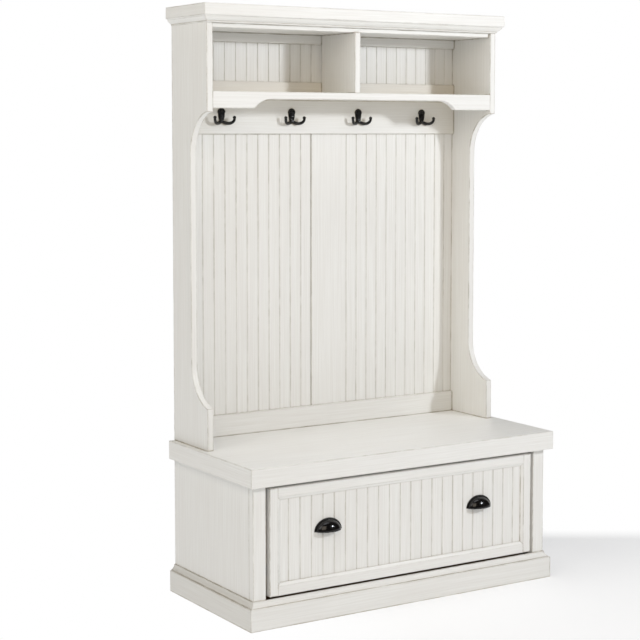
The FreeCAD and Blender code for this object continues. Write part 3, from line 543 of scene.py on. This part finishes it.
hook = settle(cast_hook(hook_centre.x), "cast_hook_1", black, 60)
hooks = [hook]
for number in (2, 3, 4):
    other_low, other_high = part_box("coat_hook_%d" % number)
    offset = Vector(((other_low.x + other_high.x) / 2 - hook_centre.x, 0, 0))
    hooks.append(copy_to(hook, "cast_hook_%d" % number, offset))
for number, piece in enumerate(hooks, start=1):
    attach(piece, "carcass")
    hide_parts("coat_hook_%d" % number)
print("hook faces:", len(hook.data.polygons))

# %% [markdown]
# Each hook is held by two black screws. Their heads are low domes with one slot across. A disc is domed
# by extruding its face in ever smaller steps, two bisects mark the slot's edges, and the strip between
# them is pushed in. The one screw is copied to all eight places, each turned by its own amount.

# %% Hook screws
HEAD_R = 3.75 * MM
HEAD_T = 1.9 * MM
SLOT_W = 1.0 * MM
PLATE_FACE = wall_y - PLATE_T
screw_heights = (hook_top - 9 * MM, hook_top - 25 * MM)
clear_selection()
bpy.ops.mesh.primitive_circle_add(vertices=40, radius=HEAD_R, fill_type="NGON", enter_editmode=True,
                                  location=(0, 0, 0), rotation=(math.pi / 2, 0, 0))
screw = bpy.context.object
for outset, inset in ((0.45, 0.0), (0.25, 0.35), (0.20, 0.8), (0.10, 1.2)):
    bpy.ops.mesh.extrude_region_move(TRANSFORM_OT_translate={"value": (0, -outset * HEAD_T, 0)})
    share = 1 - inset * MM / HEAD_R
    bpy.ops.transform.resize(value=(share, 1, share), center_override=(0, 0, 0))
for side in (-1, 1):
    bpy.ops.mesh.select_all(action="SELECT")
    bpy.ops.mesh.bisect(plane_co=(0, 0, side * SLOT_W / 2), plane_no=(0, 0, 1))
pick(lambda p, n: abs(p.z) < SLOT_W / 2 and p.y < -0.95 * HEAD_T, "FACE")
bpy.ops.mesh.extrude_region_move(TRANSFORM_OT_translate={"value": (0, 0.45 * HEAD_T, 0)})
bpy.ops.mesh.select_all(action="SELECT")
bpy.ops.mesh.normals_make_consistent(inside=False)
bpy.ops.object.mode_set(mode="OBJECT")
settle(screw, "hook_screw", black, 35)
turns = random.Random(7)
copies = []
for number in (1, 2, 3, 4):
    other_low, other_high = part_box("coat_hook_%d" % number)
    for height in screw_heights:
        place = Vector(((other_low.x + other_high.x) / 2, PLATE_FACE, height))
        twin = copy_to(screw, "hook_screw_%d_%d" % (number, len(copies) % 2 + 1), (0, 0, 0))
        twin.data.transform(Matrix.Rotation(turns.uniform(0, math.pi), 4, "Y"))
        twin.data.transform(Matrix.Translation(place))
        copies.append(twin)
bpy.data.objects.remove(screw)
for piece in copies:
    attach(piece, "carcass")
    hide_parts("hook_screws")
print("screw heads:", len(copies), "of", len(copies[0].data.polygons), "faces")

# %% [markdown]
# A bin pull is a thin shell: a quarter of a long dome that fingers reach under, with a flat rim that
# lies on the drawer. It starts as a sphere stretched to the shell's size. Two cuts leave the quarter
# above and in front, its back edge is drawn out into the rim, and a Solidify modifier gives the wall.

# %% Cup pulls
def cup_pull(node, name):
    """A hollow bin pull at the place and size of its part in the frame."""
    lowest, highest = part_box(node)
    centre_x = (lowest.x + highest.x) / 2
    back_y, bottom = highest.y, lowest.z
    width, height, projection = highest.x - lowest.x, highest.z - lowest.z, highest.y - lowest.y
    rim = 5.2 * MM
    wall = 1.7 * MM
    clear_selection()
    bpy.ops.mesh.primitive_uv_sphere_add(segments=64, ring_count=32, radius=1, location=(0, 0, 0),
                                         rotation=(0, math.pi / 2, 0))
    pull = bpy.context.object
    bpy.ops.object.transform_apply(rotation=True)
    pull.scale = (width / 2 - rim, projection, height - rim)
    pull.location = (centre_x, back_y, bottom)
    bpy.ops.object.transform_apply(location=True, scale=True)
    bpy.ops.object.mode_set(mode="EDIT")
    bpy.ops.mesh.select_all(action="SELECT")
    bpy.ops.mesh.bisect(plane_co=(0, 0, bottom), plane_no=(0, 0, 1), clear_inner=True)
    bpy.ops.mesh.select_all(action="SELECT")
    bpy.ops.mesh.bisect(plane_co=(0, back_y, 0), plane_no=(0, 1, 0), clear_outer=True)
    pick(lambda p: p.y > back_y - 0.01 * MM, "EDGE")
    bpy.ops.mesh.extrude_region_move(TRANSFORM_OT_translate={"value": (0, 0, 0)})
    grow = (width / (width - 2 * rim), 1, height / (height - rim))
    bpy.ops.transform.resize(value=grow, center_override=(centre_x, back_y, bottom))
    bpy.ops.mesh.select_all(action="SELECT")
    bpy.ops.mesh.remove_doubles(threshold=0.01 * MM)
    bpy.ops.mesh.normals_make_consistent(inside=False)
    bpy.ops.object.mode_set(mode="OBJECT")
    use_modifier(pull, "SOLIDIFY", thickness=wall, offset=0.0, use_quality_normals=True)
    pull.location.y -= wall / 2
    use_modifier(pull, "BEVEL", width=0.5 * MM, segments=3, limit_method="ANGLE",
                 angle_limit=math.radians(50))
    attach(settle(pull, name, black, 50), "drawer")
    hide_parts(node)
    return pull


pulls = [cup_pull("cup_pull_left", "bin_pull_left"), cup_pull("cup_pull_right", "bin_pull_right")]
print("pull faces:", [len(pull.data.polygons) for pull in pulls])

# %% [markdown]
# The floor is matt white paint that turns to plain glowing white behind, to the left and near the
# camera, so that it has no horizon there. On the right it stays dull enough to show the piece's shadow.

# %% Floor
HEADING = 32.23      # degrees: the way the camera looks, to the right of straight ahead
FLOOR_SIZE = 14.0
BACK_EDGE = (0.40, 0.66)      # metres beyond the piece where the floor turns to plain white
LEFT_EDGE = (0.50, -0.30)     # metres across, from full shade to plain white on the left
NEAR_EDGE = (-0.35, -1.10)    # metres towards the camera
LEAST_GLOW = 0.45             # share of plain white even where the shadow falls
ahead = (math.sin(math.radians(HEADING)), math.cos(math.radians(HEADING)), 0)
across = (ahead[1], -ahead[0], 0)
clear_selection()
bpy.ops.mesh.primitive_plane_add(size=FLOOR_SIZE, location=(0, 0, low.z))
floor = bpy.context.object
floor.name = "studio_floor"
floor_paint, tree, shader = new_material("studio_floor_paint")
position = add(tree, "ShaderNodeTexCoord").outputs["Object"]
glow = add(tree, "ShaderNodeEmission", {"Color": linear("#FFFFFF"), "Strength": 1.0})
whiteness = LEAST_GLOW
for direction, edge in ((ahead, BACK_EDGE), (across, LEFT_EDGE), (ahead, NEAR_EDGE)):
    reached = add(tree, "ShaderNodeVectorMath", {0: position, 1: direction}, operation="DOT_PRODUCT")
    fade = add(tree, "ShaderNodeMapRange", {"Value": reached.outputs["Value"], "From Min": edge[0],
                                            "From Max": edge[1]}, interpolation_type="SMOOTHSTEP")
    whiteness = add(tree, "ShaderNodeMath", {0: whiteness, 1: fade.outputs["Result"]},
                    operation="MAXIMUM").outputs[0]
shader.inputs["Base Color"].default_value = linear("#FBFBFB")
shader.inputs["Roughness"].default_value = 0.9
blend = add(tree, "ShaderNodeMixShader", {0: whiteness, 1: shader.outputs[0], 2: glow.outputs[0]})
tree.links.new(blend.outputs[0], tree.nodes["Material Output"].inputs["Surface"])
floor.data.materials.append(floor_paint)
print("floor", FLOOR_SIZE, "m square")

# %% [markdown]
# Four soft lights. The key stands close on the right front and is small, so the hooks, the divider and
# the drawer's rim throw shadows that can be read. A large warm fill on the left front and a wash from
# the left lift the shadows and the end panels, and a top light keeps the seat bright. The world is
# white to the camera but adds hardly any light.

# %% Lights
def area_light(name, azimuth, elevation, distance, size, power, colour):
    """A square soft light aimed at the middle of the piece. Azimuth 0 is in front, positive to the right."""
    target = (low + high) / 2
    a, e = math.radians(azimuth), math.radians(elevation)
    away = Vector((math.sin(a) * math.cos(e), -math.cos(a) * math.cos(e), math.sin(e)))
    light = bpy.data.lights.new(name, "AREA")
    light.size = size
    light.energy = power
    light.color = linear(colour)[:3]
    lamp = bpy.data.objects.new(name, light)
    lamp.location = target + away * distance
    lamp.rotation_euler = away.to_track_quat("Z", "Y").to_euler()
    bpy.context.scene.collection.objects.link(lamp)


area_light("key_right_front", 34, 20, 3.6, 0.3, 54, "#F5F9FF")
area_light("fill_left_front", -30, 26, 5.0, 3.0, 68, "#FFF1DE")
area_light("soft_left", -80, 35, 4.2, 3.0, 66, "#FFFDF8")
area_light("soft_top", 0, 85, 4.5, 3.0, 85, "#F8FAFF")

WORLD_LIGHT = 0.025          # how much light the white backdrop gives
world = bpy.data.worlds.new("studio_world")
bpy.context.scene.world = world
world.use_nodes = True
sky = world.node_tree
backdrop = sky.nodes["Background"]
backdrop.inputs["Color"].default_value = linear("#FFFFFF")
seen = add(sky, "ShaderNodeLightPath").outputs["Is Camera Ray"]
sky.links.new(ramp(sky, seen, 0.0, 1.0, WORLD_LIGHT, 1.0), backdrop.inputs["Strength"])
bpy.context.scene.view_settings.view_transform = "Standard"

# %% [markdown]
# The camera stands to the left of the piece and above its middle, with a long lens, so that the front
# and the left end both show and the uprights stay almost parallel.

# %% Camera
TILT = 4.42          # degrees down
LENS = 91.06         # mm, on a 36 mm sensor
STATION = (-2.5784, -3.8504, 1.3166)
camera_data = bpy.data.cameras.new("camera")
camera_data.lens = LENS
camera_data.sensor_width = 36.0
camera_data.shift_y = -0.10
camera = bpy.data.objects.new("camera", camera_data)
camera.location = Vector(STATION)
camera.rotation_euler = (math.radians(90 - TILT), 0, math.radians(-HEADING))
bpy.context.scene.collection.objects.link(camera)
bpy.context.scene.camera = camera
print("camera", round((camera.location - (low + high) / 2).length, 2), "m away")
